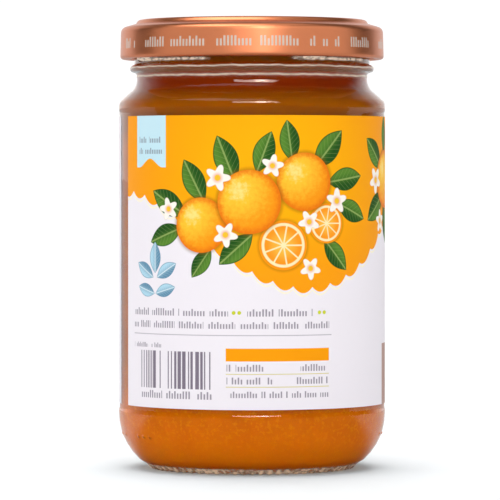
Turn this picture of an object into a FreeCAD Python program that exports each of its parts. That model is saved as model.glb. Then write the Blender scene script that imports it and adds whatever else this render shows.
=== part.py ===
"""A sealed jar of jam: glass jar, pressed steel twist-off lid, wrap-around paper label and the jam.

Millimetres, +Z up. The origin is the centre of the ring that the jar stands on, so the floor is z = 0.
Seen from -Y, the label's printed back panel faces the viewer and its two ends nearly meet on the left.
Every round piece is one outline turned about Z: a path of straight runs and tangent arcs in the (r, z) plane.
"""

import FreeCAD
import Part
import math
import os

# ---------------------------------------------------------------- driving dimensions
# glass: mouth, finish and neck
JAR_HEIGHT = 114.75         # floor to the sealing rim
MOUTH_RADIUS = 27.3         # bore of the mouth
FINISH_WALL = 3.0           # glass behind the thread
CROWN_SETBACK = 0.95        # how much slimmer the rim's crown is than the rest of the finish
CROWN_HEIGHT = 2.3          # rim down to the full finish
CROWN_ROUND = 0.3           # small rounds below the crown
CROWN_SLOPE = 65.0
RIM_ROUND = 0.7             # rounding on both edges of the rim
FINISH_DEPTH = 12.25        # rim down to the nose of the neck bead
BEAD_REACH = 1.1            # how far the bead stands out from the finish
BEAD_NOSE = 0.95            # round of its nose
BEAD_FILLET = 0.35          # hollow over the bead
BEAD_SLOPE = 75.0           # degrees between the bead's flanks and the upright wall
NECK_RELIEF = 0.6           # how much slimmer the neck is than the finish
NECK_FILLET = 0.6           # hollow under the bead

# glass: shoulder and body
SHOULDER_DROP = 21.85       # rim down to where the shoulder ends
SHOULDER_STEP = 4.6         # how much wider the body is than the neck
SHOULDER_SLOPE = 49.0       # degrees between the shoulder and the upright wall
SHOULDER_ROUND = 2.2        # round at the shoulder's outer corner
NECK_ROUND = 4.0            # hollow where the shoulder meets the neck
INNER_SHOULDER_ROUND = 1.5  # the same outer corner, inside
BODY_WALL = 2.5             # glass of the body and the shoulder
PANEL_RECESS = 0.2          # how far the panel for the label is set back
PANEL_STEP_ROUND = 2.0      # rounds of the soft step round that panel

# glass: heel and foot
HEEL_ROUND = 16.0           # big round at the foot of the wall
HEEL_TURN = 47.0            # degrees that the big round turns
KNUCKLE_ROUND = 3.0         # tighter end of the heel
STEP_SLOPE = 30.0           # degrees above the floor of the step over the foot
STEP_LENGTH = 1.5
STEP_HOLLOW = 1.5
FOOT_SLOPE = 50.0           # degrees above the floor of the foot's side
FOOT_HEIGHT = 1.0           # floor to the hollow over the foot
FOOT_ROUND = 0.8
BEARING_WIDTH = 2.3         # flat ring that the jar stands on
PUSH_UP = 0.7               # rise of the underside inside the bearing ring
PUSH_UP_ROUND = 3.0
BASE_THICKNESS = 2.3        # glass in the middle of the base

# nubs moulded on the heel
NUB_TURN = 18.7             # degrees down the heel's big round
NUB_RADIUS = 0.55
NUB_REACH = 0.3             # how far a nub stands out of the glass
# degrees from -Y towards +X to the middle of a group, its nubs, and the degrees between two of them
NUB_GROUPS = ((-77.8, 2, 8.2), (-54.6, 3, 4.4), (80.0, 2, 6.0))

# interrupted thread on the glass finish
THREAD_STARTS = 4
THREAD_SPAN = 78.0          # degrees that each ramp covers
THREAD_LEAD = 12.0          # rise of a ramp in a full turn
THREAD_OVER_BEAD = 2.3      # nose of the bead up to the middle of a ramp's low end
THREAD_REACH = 1.15         # how far a ramp stands out from the finish
THREAD_HEIGHT = 1.5
THREAD_ROOT = 1.0           # how deep a ramp is sunk into the finish
THREAD_START_ANGLE = -72.0  # low end of the first ramp, degrees from -Y towards +X

# label
LABEL_UNDER_SHOULDER = 2.7  # end of the shoulder down to the label
LABEL_OVER_HEEL = 2.6       # top of the heel up to the label
PANEL_MARGIN = 0.9          # bare panel above and below the label
LABEL_THICKNESS = 0.12
LABEL_LEFT = -66.9          # degrees from -Y towards +X
LABEL_GAP = 11.5            # bare glass between the label's two ends, degrees

# jam
HEADSPACE = 7.5             # rim down to the jam

# pressed steel lid
SHEET = 0.25
LID_OVER_BEAD = 2.45        # nose of the bead up to the bottom of the lid
CHANNEL_RISE = 1.15         # ring over the glass rim, above the shoulder of the lid
CHANNEL_EDGE_ROUND = 0.9
CHANNEL_EDGE_HOLLOW = 0.6
CHANNEL_EDGE_SLOPE = 60.0
CHANNEL_CLEARANCE = 0.05    # lid to the side of the crown, where the riser passes it
CHANNEL_WIDTH = 2.0         # flat top of the ring over the glass rim
PANEL_SINK = 0.7            # middle of the lid below that ring
PANEL_SINK_ROUND = 0.6
PANEL_SINK_SLOPE = 50.0
BUTTON_RADIUS = 13.0        # safety button, drawn down by the vacuum
BUTTON_DROP = 0.45
BUTTON_ROUND = 1.2
BUTTON_SLOPE = 25.0
LEDGE_SLOPE = 16.0          # degrees that the lid's shoulder falls outwards
LEDGE_ROUND = 0.5
LID_CORNER_ROUND = 1.6
SKIRT_CLEARANCE = 2.0       # thread to the inside of the skirt
SKIRT_LEAN = 1.5            # degrees that the skirt leans out towards its foot
CURL_RADIUS = 0.8
CURL_TURN = 285.0
LUG_SPAN = 14.0             # degrees
LUG_AFTER_LOW_END = 62.0    # low end of a ramp to the start of the lug under it, degrees
LUG_CLEARANCE = 0.4         # tip of the lug to the finish
LUG_HEIGHT = 0.8
LUG_LIFT = 0.1              # bottom of the lid to the bottom of the lug

# ---------------------------------------------------------------- sizes that follow
FINISH_RADIUS = MOUTH_RADIUS + FINISH_WALL
CROWN_RADIUS = FINISH_RADIUS - CROWN_SETBACK
NECK_RADIUS = FINISH_RADIUS - NECK_RELIEF
BODY_RADIUS = NECK_RADIUS + SHOULDER_STEP
PANEL_RADIUS = BODY_RADIUS - PANEL_RECESS
THREAD_RADIUS = FINISH_RADIUS + THREAD_REACH
BEAD_Z = JAR_HEIGHT - FINISH_DEPTH
SHOULDER_Z = JAR_HEIGHT - SHOULDER_DROP
INNER_FLOOR = PUSH_UP + BASE_THICKNESS
LABEL_HIGH = SHOULDER_Z - LABEL_UNDER_SHOULDER
LID_TOP = JAR_HEIGHT + SHEET
LID_BOTTOM = BEAD_Z + LID_OVER_BEAD
SKIRT_RADIUS = THREAD_RADIUS + SKIRT_CLEARANCE + SHEET
JAM_LEVEL = JAR_HEIGHT - HEADSPACE

Z_AXIS = FreeCAD.Vector(0, 0, 1)
ORIGIN = FreeCAD.Vector(0, 0, 0)
DOWN, OUT, IN = -90.0, 0.0, 180.0


class Outline:
    """A path in the (r, z) plane of straight runs and tangent arcs. heading is in degrees: 0 outward, 90 up.

    Each step is kept, so that the same path can be walked again backwards or at a distance to one side.
    """

    def __init__(self, r, z, heading):
        self.start = (r, z, heading)
        self.r, self.z, self.heading = r, z, heading
        self.steps = []
        self.edges = []

    def _way(self, turned=0.0):
        angle = math.radians(self.heading + turned)
        return math.cos(angle), math.sin(angle)

    def run(self, length):
        """Straight on for length."""
        if length < -1e-6:
            raise ValueError(f"the outline folds back by {-length:.3f} at r {self.r:.2f}, z {self.z:.2f}")
        dr, dz = self._way()
        return self._add(("run", length), [(self.r + dr * length, self.z + dz * length)])

    def run_to_r(self, r):
        return self.run((r - self.r) / self._way()[0])

    def run_to_z(self, z):
        return self.run((z - self.z) / self._way()[1])

    def bend(self, radius, turn):
        """A tangent arc. A positive turn is to the left."""
        side = math.copysign(1.0, turn)
        to_centre = self._way(90.0 * side)
        centre = (self.r + to_centre[0] * radius, self.z + to_centre[1] * radius)
        points = []
        for share in (0.5, 1.0):
            out = self._way(-90.0 * side + turn * share)
            points.append((centre[0] + out[0] * radius, centre[1] + out[1] * radius))
        self._add(("bend", radius, turn), points)
        self.heading += turn
        return self

    def sidestep(self, shift, first_round, second_round, slope):
        """An S that moves the path sideways: two bends and a straight run. A positive shift is to the left."""
        side = math.copysign(1.0, shift)
        rounds = first_round + second_round
        straight = (abs(shift) - rounds * (1.0 - math.cos(math.radians(slope)))) / math.sin(math.radians(slope))
        if straight < 0:
            # no room for the straight run: the two bends meet, at a gentler slope
            slope = math.degrees(math.acos(1.0 - abs(shift) / rounds))
            straight = 0.0
        self.bend(first_round, side * slope)
        self.run(straight)
        return self.bend(second_round, -side * slope)

    def _add(self, step, points):
        here = FreeCAD.Vector(self.r, 0, self.z)
        there = [FreeCAD.Vector(r, 0, z) for r, z in points]
        self.steps.append(step)
        self.r, self.z = points[-1]
        if here.distanceToPoint(there[-1]) > 1e-7:
            if len(there) == 1:
                self.edges.append(Part.LineSegment(here, there[0]).toShape())
            else:
                self.edges.append(Part.Arc(here, there[0], there[1]).toShape())
        return self

    def _walk(self, other, steps):
        for step in steps:
            if step[0] == "run":
                other.run(step[1])
            else:
                other.bend(step[1], step[2])
        return other

    def beside(self, distance):
        """The same path, walked at distance to its left. Arcs to the left get tighter by it, the others wider."""
        r, z, heading = self.start
        left = math.radians(heading + 90.0)
        other = Outline(r + math.cos(left) * distance, z + math.sin(left) * distance, heading)
        return self._walk(other, [step if step[0] == "run" else
                                  ("bend", step[1] - distance * math.copysign(1.0, step[2]), step[2])
                                  for step in self.steps])

    def backwards(self):
        """The same curve walked from its end to its start."""
        other = Outline(self.r, self.z, self.heading + 180.0)
        return self._walk(other, [step if step[0] == "run" else ("bend", step[1], -step[2])
                                  for step in reversed(self.steps)])


def closed_face(*outlines):
    """One flat face bounded by outlines, walked one after the other and joined end to end by straight edges."""
    edges = []
    for number, outline in enumerate(outlines):
        following = outlines[(number + 1) % len(outlines)]
        edges += outline.edges
        end = FreeCAD.Vector(outline.r, 0, outline.z)
        start = FreeCAD.Vector(following.start[0], 0, following.start[1])
        if end.distanceToPoint(start) > 1e-7:
            edges.append(Part.LineSegment(end, start).toShape())
    face = Part.Face(Part.Wire(Part.__sortEdges__(edges)))
    if not face.isValid():
        raise ValueError("an outline crosses itself")
    return face


def turned(face, degrees=360.0, start=0.0):
    """face, turned about Z. start is measured from the +X side, where the face lies."""
    section = face.copy()
    section.rotate(ORIGIN, Z_AXIS, start)
    return section.revolve(ORIGIN, Z_AXIS, degrees)


def from_front(degrees):
    """The rotation that takes +X to degrees from -Y, counted towards +X."""
    return degrees - 90.0


# ---------------------------------------------------------------- jar
def heel(outline):
    """From the upright wall to the floor: big round, tighter knuckle, step, hollow, foot side, foot edge."""
    outline.bend(HEEL_ROUND, -HEEL_TURN)
    outline.bend(KNUCKLE_ROUND, HEEL_TURN + STEP_SLOPE - 90.0)
    outline.run(STEP_LENGTH)
    outline.bend(STEP_HOLLOW, FOOT_SLOPE - STEP_SLOPE)
    foot_round_rise = FOOT_ROUND * (1.0 - math.cos(math.radians(FOOT_SLOPE)))
    outline.run((FOOT_HEIGHT - foot_round_rise) / math.sin(math.radians(FOOT_SLOPE)))
    return outline.bend(FOOT_ROUND, -FOOT_SLOPE)


HEEL_TOP = -heel(Outline(BODY_RADIUS, 0.0, DOWN)).z     # where the upright wall ends
LABEL_LOW = HEEL_TOP + LABEL_OVER_HEEL


def outer_outline():
    """Outside of the glass, from the rim down and in to the axis."""
    path = Outline(CROWN_RADIUS - RIM_ROUND, JAR_HEIGHT, OUT)
    path.bend(RIM_ROUND, -90.0)
    crown_step = Outline(0.0, 0.0, DOWN).sidestep(CROWN_SETBACK, CROWN_ROUND, CROWN_ROUND, CROWN_SLOPE)
    path.run_to_z(JAR_HEIGHT - CROWN_HEIGHT - crown_step.z)
    path.sidestep(CROWN_SETBACK, CROWN_ROUND, CROWN_ROUND, CROWN_SLOPE)
    bead_top = Outline(0.0, 0.0, DOWN).sidestep(BEAD_REACH, BEAD_FILLET, BEAD_NOSE, BEAD_SLOPE)
    path.run_to_z(BEAD_Z - bead_top.z)
    path.sidestep(BEAD_REACH, BEAD_FILLET, BEAD_NOSE, BEAD_SLOPE)
    path.sidestep(-BEAD_REACH - NECK_RELIEF, BEAD_NOSE, NECK_FILLET, BEAD_SLOPE)
    shoulder = Outline(0.0, 0.0, DOWN).sidestep(SHOULDER_STEP, NECK_ROUND, SHOULDER_ROUND, SHOULDER_SLOPE)
    path.run_to_z(SHOULDER_Z - shoulder.z)
    path.sidestep(SHOULDER_STEP, NECK_ROUND, SHOULDER_ROUND, SHOULDER_SLOPE)
    rounds = (PANEL_STEP_ROUND, PANEL_STEP_ROUND, SHOULDER_SLOPE)
    panel_step = Outline(0.0, 0.0, DOWN).sidestep(PANEL_RECESS, *rounds)
    path.run_to_z(LABEL_HIGH + PANEL_MARGIN - panel_step.z)
    path.sidestep(-PANEL_RECESS, *rounds)
    path.run_to_z(LABEL_LOW - PANEL_MARGIN)
    path.sidestep(PANEL_RECESS, *rounds)
    path.run_to_z(HEEL_TOP)
    heel(path)
    path.run(BEARING_WIDTH)
    path.sidestep(-PUSH_UP, PUSH_UP_ROUND, PUSH_UP_ROUND, STEP_SLOPE)
    return path.run_to_r(0.0)


def inner_shoulder_top():
    """Height at which the bore starts to widen, so that the sloping wall is as thick as the body's."""
    slope = math.radians(SHOULDER_SLOPE)
    outer = Outline(BODY_RADIUS, SHOULDER_Z, DOWN + 180.0).bend(SHOULDER_ROUND, SHOULDER_SLOPE)
    # a point on the sloping inner wall: the outer one moved in square to it by the wall
    wall_r = outer.r - BODY_WALL * math.cos(slope)
    wall_z = outer.z - BODY_WALL * math.sin(slope)
    inner = Outline(0.0, 0.0, DOWN).bend(NECK_ROUND + BODY_WALL, SHOULDER_SLOPE)
    along = (wall_r - MOUTH_RADIUS - inner.r) / math.sin(slope)
    return wall_z + along * math.cos(slope) - inner.z


def inner_outline(top):
    """Inside of the glass, from height top down the bore and in to the axis."""
    inner_radius = BODY_RADIUS - BODY_WALL
    path = Outline(MOUTH_RADIUS, top, DOWN)
    path.run_to_z(inner_shoulder_top())
    path.sidestep(inner_radius - MOUTH_RADIUS, NECK_ROUND + BODY_WALL, INNER_SHOULDER_ROUND, SHOULDER_SLOPE)
    path.run_to_z(HEEL_TOP)
    path.bend(HEEL_ROUND - BODY_WALL, -HEEL_TURN)
    floor_turn = 90.0 - HEEL_TURN
    path.bend((path.z - INNER_FLOOR) / (1.0 - math.cos(math.radians(floor_turn))), -floor_turn)
    return path.run_to_r(0.0)


def thread_ramp():
    """One ramp of the interrupted thread: a round-nosed section along a helix, its low end on the +X side."""
    root = FINISH_RADIUS - THREAD_ROOT
    half = THREAD_HEIGHT / 2.0
    low = BEAD_Z + THREAD_OVER_BEAD
    corners = [FreeCAD.Vector(root, 0, low + half), FreeCAD.Vector(THREAD_RADIUS - half, 0, low + half),
               FreeCAD.Vector(THREAD_RADIUS, 0, low), FreeCAD.Vector(THREAD_RADIUS - half, 0, low - half),
               FreeCAD.Vector(root, 0, low - half)]
    section = Part.Wire([Part.LineSegment(corners[0], corners[1]).toShape(),
                         Part.Arc(corners[1], corners[2], corners[3]).toShape(),
                         Part.LineSegment(corners[3], corners[4]).toShape(),
                         Part.LineSegment(corners[4], corners[0]).toShape()])
    spine = Part.makeHelix(THREAD_LEAD, THREAD_LEAD * THREAD_SPAN / 360.0, FINISH_RADIUS)
    spine.translate(FreeCAD.Vector(0, 0, low))
    return Part.Wire(spine.Edges).makePipeShell([section], True, True)


def nub():
    """A small ball sunk into the heel's big round, on the +X side."""
    turn = math.radians(NUB_TURN)
    reach = HEEL_ROUND + NUB_REACH - NUB_RADIUS
    r, z = BODY_RADIUS - HEEL_ROUND + reach * math.cos(turn), HEEL_TOP - reach * math.sin(turn)
    return Part.makeSphere(NUB_RADIUS, FreeCAD.Vector(r, 0, z))


def jar():
    rim = inner_outline(JAR_HEIGHT - RIM_ROUND).backwards().bend(RIM_ROUND, -90.0)
    glass = turned(closed_face(outer_outline(), rim))
    relief = []
    for number in range(THREAD_STARTS):
        relief.append((thread_ramp(), THREAD_START_ANGLE + number * 360.0 / THREAD_STARTS))
    for middle, count, pitch in NUB_GROUPS:
        for number in range(count):
            relief.append((nub(), middle + (number - (count - 1) / 2.0) * pitch))
    for piece, angle in relief:
        piece.rotate(ORIGIN, Z_AXIS, from_front(angle))
        glass = glass.fuse(piece)
    return glass


# ---------------------------------------------------------------- lid
def riser(outline):
    """The side of the ring over the glass rim."""
    return outline.sidestep(-CHANNEL_RISE, CHANNEL_EDGE_ROUND, CHANNEL_EDGE_HOLLOW, CHANNEL_EDGE_SLOPE)


def channel_edge():
    """Radius where the flat top of that ring ends, so that the riser's underside clears the crown's round."""
    slope = math.radians(CHANNEL_EDGE_SLOPE)
    # the sloping underside is tangent to the crown's round, at the clearance: both rounds' centres set the line
    crown_r, crown_z = CROWN_RADIUS - RIM_ROUND, JAR_HEIGHT - RIM_ROUND
    reach = RIM_ROUND + CHANNEL_CLEARANCE
    near_r, near_z = crown_r + reach * math.sin(slope), crown_z + reach * math.cos(slope)
    inside = CHANNEL_EDGE_ROUND - SHEET
    drop = LID_TOP - CHANNEL_EDGE_ROUND + inside * math.cos(slope) - near_z
    return near_r - inside * math.sin(slope) - drop / math.tan(slope)


def lid_path():
    """Top face of the sheet, from the middle of the button out, down the skirt and round the curl."""
    edge = channel_edge()
    sink = Outline(0.0, 0.0, OUT).sidestep(PANEL_SINK, PANEL_SINK_ROUND, PANEL_SINK_ROUND, PANEL_SINK_SLOPE)
    path = Outline(0.0, LID_TOP - PANEL_SINK - BUTTON_DROP, OUT)
    path.run_to_r(BUTTON_RADIUS)
    path.sidestep(BUTTON_DROP, BUTTON_ROUND, BUTTON_ROUND, BUTTON_SLOPE)
    path.run_to_r(edge - CHANNEL_WIDTH - sink.r)
    path.sidestep(PANEL_SINK, PANEL_SINK_ROUND, PANEL_SINK_ROUND, PANEL_SINK_SLOPE)
    path.run_to_r(edge)
    riser(path)
    path.bend(LEDGE_ROUND, -LEDGE_SLOPE)
    corner = Outline(0.0, 0.0, -LEDGE_SLOPE).bend(LID_CORNER_ROUND, LEDGE_SLOPE + SKIRT_LEAN - 90.0)
    path.run_to_r(SKIRT_RADIUS - corner.r)
    path.bend(LID_CORNER_ROUND, LEDGE_SLOPE + SKIRT_LEAN - 90.0)
    path.run_to_z(LID_BOTTOM + CURL_RADIUS * (1.0 + math.sin(math.radians(SKIRT_LEAN))))
    return path.bend(CURL_RADIUS, -CURL_TURN)


def lug():
    """A flattened piece of the curl that reaches in under a thread ramp, centred on the +X side."""
    tip = FINISH_RADIUS + LUG_CLEARANCE
    curl_inside = SKIRT_RADIUS - 2.0 * CURL_RADIUS
    nose = LUG_HEIGHT / 2.0
    path = Outline(curl_inside + SHEET, LID_BOTTOM + LUG_LIFT + LUG_HEIGHT, IN)
    path.run_to_r(tip + nose)
    path.bend(nose, 180.0)
    path.run_to_r(curl_inside + SHEET)
    return turned(closed_face(path), LUG_SPAN, -LUG_SPAN / 2.0)


def lid():
    outside = lid_path()
    shell = turned(closed_face(outside, outside.beside(-SHEET).backwards()))
    for number in range(THREAD_STARTS):
        angle = THREAD_START_ANGLE + LUG_AFTER_LOW_END + LUG_SPAN / 2.0 + number * 360.0 / THREAD_STARTS
        piece = lug()
        piece.rotate(ORIGIN, Z_AXIS, from_front(angle))
        shell = shell.fuse(piece)
    return shell


# ---------------------------------------------------------------- label and jam
def label():
    """A sheet of paper round the panel, open where its two ends nearly meet."""
    outside = PANEL_RADIUS + LABEL_THICKNESS
    corners = [(PANEL_RADIUS, LABEL_LOW), (outside, LABEL_LOW),
               (outside, LABEL_HIGH), (PANEL_RADIUS, LABEL_HIGH)]
    edge = Part.Face(Part.makePolygon([FreeCAD.Vector(r, 0, z) for r, z in corners + corners[:1]]))
    return turned(edge, 360.0 - LABEL_GAP, from_front(LABEL_LEFT))


def jam():
    return turned(closed_face(inner_outline(JAM_LEVEL), Outline(0.0, JAM_LEVEL, OUT).run_to_r(MOUTH_RADIUS)))


def main():
    os.makedirs("parts", exist_ok=True)
    for name, make in (("jar", jar), ("lid", lid), ("label", label), ("jam", jam)):
        shape = make()
        if len(shape.Solids) != 1 or not shape.isValid():
            raise RuntimeError(f"{name}: {len(shape.Solids)} solids, valid {shape.isValid()}")
        solid = shape.Solids[0]
        solid.exportStep(f"parts/{name}.step")
        box = solid.optimalBoundingBox(False, False)
        print(f"{name}: {solid.Volume / 1000.0:.2f} ml, {box.XLength:.2f} x {box.YLength:.2f} x "
              f"{box.ZLength:.2f} mm, z {box.ZMin:.2f} to {box.ZMax:.2f}")


main()
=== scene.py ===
"""A sealed jar of jam, dressed for rendering: clear glass, jam, a lacquered twist-off lid and a printed paper label.

Each round piece is a profile of straight runs and tangent arcs, sampled with numpy and carried round the Z axis.
Angles about Z are counted from -Y, the side of the printed back panel, towards +X. Profiles are in millimetres.
"""

import math

import bpy
import numpy as np
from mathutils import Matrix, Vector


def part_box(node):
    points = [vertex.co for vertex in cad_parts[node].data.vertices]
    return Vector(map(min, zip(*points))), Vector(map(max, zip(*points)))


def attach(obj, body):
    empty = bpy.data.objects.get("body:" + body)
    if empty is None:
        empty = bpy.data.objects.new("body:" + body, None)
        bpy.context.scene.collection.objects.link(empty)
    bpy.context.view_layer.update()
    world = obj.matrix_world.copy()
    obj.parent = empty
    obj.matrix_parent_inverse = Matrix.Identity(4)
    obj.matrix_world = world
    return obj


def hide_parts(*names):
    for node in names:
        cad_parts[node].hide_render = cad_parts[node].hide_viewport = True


bl_info = {
    "name": "Jam Jar",
    "version": (1, 0, 0),
    "blender": (4, 5, 0),
    "location": "3D View > Sidebar > Jam Jar",
    "description": "Glass, jam, lid, label and a white studio for a sealed jam jar",
    "category": "Add Mesh",
}

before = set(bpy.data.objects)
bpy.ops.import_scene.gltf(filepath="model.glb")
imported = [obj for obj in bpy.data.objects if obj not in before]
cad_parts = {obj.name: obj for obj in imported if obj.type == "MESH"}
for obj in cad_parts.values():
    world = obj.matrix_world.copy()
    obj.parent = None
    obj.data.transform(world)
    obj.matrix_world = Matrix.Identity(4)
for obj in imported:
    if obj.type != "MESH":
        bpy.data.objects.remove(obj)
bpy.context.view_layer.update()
ROOT = "root"
MM = 0.001


def mm_box(node):
    """Lowest and highest corner of a CAD node, in millimetres."""
    low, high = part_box(node)
    return np.array(low) / MM, np.array(high) / MM


_, JAR_HIGH = mm_box("jar")
LID_LOW, LID_HIGH = mm_box("lid")
LABEL_BOX_LOW, LABEL_BOX_HIGH = mm_box("label")
JAM_LOW, JAM_HIGH = mm_box("jam")

# ---------------------------------------------------------------- sizes in millimetres and degrees
BODY_RADIUS = JAR_HIGH[0]
RIM_Z = JAR_HIGH[2]
WALL = BODY_RADIUS - JAM_HIGH[0]
INNER_FLOOR = JAM_LOW[2]
SHOULDER_STEP, SHOULDER_SLOPE, SHOULDER_DROP = 4.6, 49.0, 21.85
SHOULDER_ROUND, NECK_ROUND, INNER_SHOULDER_ROUND = 2.2, 4.0, 1.5
NECK_RADIUS = BODY_RADIUS - SHOULDER_STEP
NECK_RELIEF = 0.6
FINISH_RADIUS = NECK_RADIUS + NECK_RELIEF
FINISH_WALL = 3.0
MOUTH_RADIUS = FINISH_RADIUS - FINISH_WALL
CROWN_SETBACK, CROWN_HEIGHT, CROWN_ROUND, CROWN_SLOPE = 0.95, 2.3, 0.3, 65.0
RIM_ROUND = 0.7
BEAD_Z = RIM_Z - 12.25
BEAD_REACH, BEAD_NOSE, BEAD_FILLET, NECK_FILLET, BEAD_SLOPE = 1.1, 0.95, 0.35, 0.6, 75.0
PANEL_RECESS, PANEL_STEP_ROUND, PANEL_MARGIN = 0.2, 2.0, 0.9
PANEL_RADIUS = BODY_RADIUS - PANEL_RECESS
HEEL_ROUND, HEEL_TURN, KNUCKLE_ROUND = 16.0, 47.0, 3.0
STEP_SLOPE, STEP_LENGTH, STEP_HOLLOW = 30.0, 1.5, 1.5
FOOT_SLOPE, FOOT_HEIGHT, FOOT_ROUND, BEARING_WIDTH = 50.0, 1.0, 0.8, 2.3
PUSH_UP, PUSH_UP_ROUND = 0.7, 3.0
# the last pair gives the heights where the foot's painted highlight fades out
FOOT_INSIDE, KNURL_EDGE, PAINTED_GLINT_TOP = 20.0, (23.2, 24.2), (1.7, 1.15)
THREAD_STARTS, THREAD_SPAN, THREAD_LEAD, THREAD_START = 4, 78.0, 12.0, -72.0
THREAD_Z = BEAD_Z + 2.3
THREAD_REACH, THREAD_HEIGHT, THREAD_RUN_OUT = 1.15, 1.5, 3.0
NUB_TURN, NUB_BELT, NUB_RADIUS, NUB_REACH = 18.7, 3.0, 0.55, 0.3
NUB_ANGLES = (-81.9, -73.7, -59.0, -54.6, -50.2, 77.0, 83.0)

SHEET = 0.25
LID_TOP, LID_BOTTOM = LID_HIGH[2], LID_LOW[2]
SKIRT_RADIUS = FINISH_RADIUS + THREAD_REACH + 2.0 + SHEET
CHANNEL_EDGE, CHANNEL_WIDTH, CHANNEL_RISE = 28.77, 2.0, 1.15
CHANNEL_EDGE_ROUND, CHANNEL_EDGE_HOLLOW, CHANNEL_EDGE_SLOPE = 0.9, 0.6, 60.0
PANEL_SINK, PANEL_SINK_ROUND, PANEL_SINK_SLOPE = 0.7, 0.6, 50.0
BUTTON_RADIUS, BUTTON_DROP, BUTTON_ROUND, BUTTON_SLOPE = 13.0, 0.45, 1.2, 25.0
LEDGE_SLOPE, LEDGE_ROUND, LID_CORNER_ROUND, SKIRT_LEAN = 16.0, 0.5, 1.6, 1.5
CURL_RADIUS, CURL_TURN = 0.8, 285.0
LUG_SPAN, LUG_AFTER_LOW_END, LUG_REACH = 14.0, 62.0, 1.6
TICK_PITCH, TICKS_A_WORD, TICK_LIFT = 0.92, 13.0, 2.55

PAPER, PAPER_GAP = 0.12, 0.006
LABEL_LOW, LABEL_HIGH = LABEL_BOX_LOW[2], LABEL_BOX_HIGH[2]
LABEL_RADIUS = PANEL_RADIUS + PAPER
LABEL_LEFT, LABEL_SPAN = -66.9, 348.5
LABEL_WIDTH = LABEL_RADIUS * math.radians(LABEL_SPAN)
LABEL_TALL = LABEL_HIGH - LABEL_LOW

JAM_REACH, JAM_DIP = 0.12, 0.4

DOWN, OUT, UP = -90.0, 0.0, 90.0

# points round the axis, points of the label each way, and the longest runs of the finely sampled stretches
GLASS_POINTS, JAM_POINTS, LID_POINTS = 372, 256, 360
LABEL_COLUMNS, LABEL_ROWS = 361, 25
THREAD_STEP, BEAD_STEP, WALL_STEP, FLAT_STEP = 0.28, 0.14, 8.0, 4.0


# ---------------------------------------------------------------- profiles
class Outline:
    """A path in the (r, z) plane, sampled as it is walked. heading is in degrees: 0 outward, 90 up.

    A run adds evenly spaced points; a bend adds points centre + radius * (cos, sin) at no more than ARC_STEP.
    """

    ARC_STEP = 9.0

    def __init__(self, r, z, heading):
        self.rows = [np.array([[r, z]])]
        self.heading = heading

    @property
    def end(self):
        return self.rows[-1][-1]

    def points(self):
        return np.concatenate(self.rows)

    def _way(self, degrees):
        return np.array([math.cos(math.radians(degrees)), math.sin(math.radians(degrees))])

    def run(self, length, step=50.0):
        if length > 1e-6:
            share = np.linspace(0.0, 1.0, max(1, math.ceil(length / step)) + 1)[1:, None]
            self.rows.append(self.end + share * length * self._way(self.heading))
        return self

    def to_r(self, r, step=50.0):
        return self.run((r - self.end[0]) / self._way(self.heading)[0], step)

    def to_z(self, z, step=50.0):
        return self.run((z - self.end[1]) / self._way(self.heading)[1], step)

    def bend(self, radius, turn, step=ARC_STEP):
        side = math.copysign(1.0, turn)
        centre = self.end + radius * self._way(self.heading + 90.0 * side)
        count = max(2, math.ceil(abs(turn) / step))
        angles = np.radians(self.heading - 90.0 * side + np.linspace(0.0, turn, count + 1)[1:])
        self.rows.append(centre + radius * np.stack([np.cos(angles), np.sin(angles)], axis=1))
        self.heading += turn
        return self

    def sidestep(self, shift, first_round, second_round, slope):
        """An S of two bends and the straight run between them. A positive shift is to the left."""
        side = math.copysign(1.0, shift)
        rounds = first_round + second_round
        straight = (abs(shift) - rounds * (1.0 - math.cos(math.radians(slope)))) / math.sin(math.radians(slope))
        if straight < 0:
            slope = math.degrees(math.acos(1.0 - abs(shift) / rounds))
            straight = 0.0
        self.bend(first_round, side * slope)
        self.run(straight)
        return self.bend(second_round, -side * slope)


def fall(*step):
    """How far down a sidestep takes a path that heads down."""
    return -Outline(0.0, 0.0, DOWN).sidestep(*step).end[1]


def add_heel(path):
    """Big round, tighter knuckle, step, hollow, foot side and foot edge, down to the floor. Finer about the nubs."""
    path.bend(HEEL_ROUND, NUB_BELT - NUB_TURN)
    path.bend(HEEL_ROUND, -2.0 * NUB_BELT, 1.0)
    path.bend(HEEL_ROUND, NUB_TURN + NUB_BELT - HEEL_TURN)
    path.bend(KNUCKLE_ROUND, HEEL_TURN + STEP_SLOPE - 90.0)
    path.run(STEP_LENGTH, 0.5)
    path.bend(STEP_HOLLOW, FOOT_SLOPE - STEP_SLOPE)
    edge_rise = FOOT_ROUND * (1.0 - math.cos(math.radians(FOOT_SLOPE)))
    path.run((FOOT_HEIGHT - edge_rise) / math.sin(math.radians(FOOT_SLOPE)), 0.25)
    return path.bend(FOOT_ROUND, -FOOT_SLOPE)


HEEL_TOP = -add_heel(Outline(BODY_RADIUS, 0.0, DOWN)).end[1]
SHOULDER_Z = RIM_Z - SHOULDER_DROP


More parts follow.
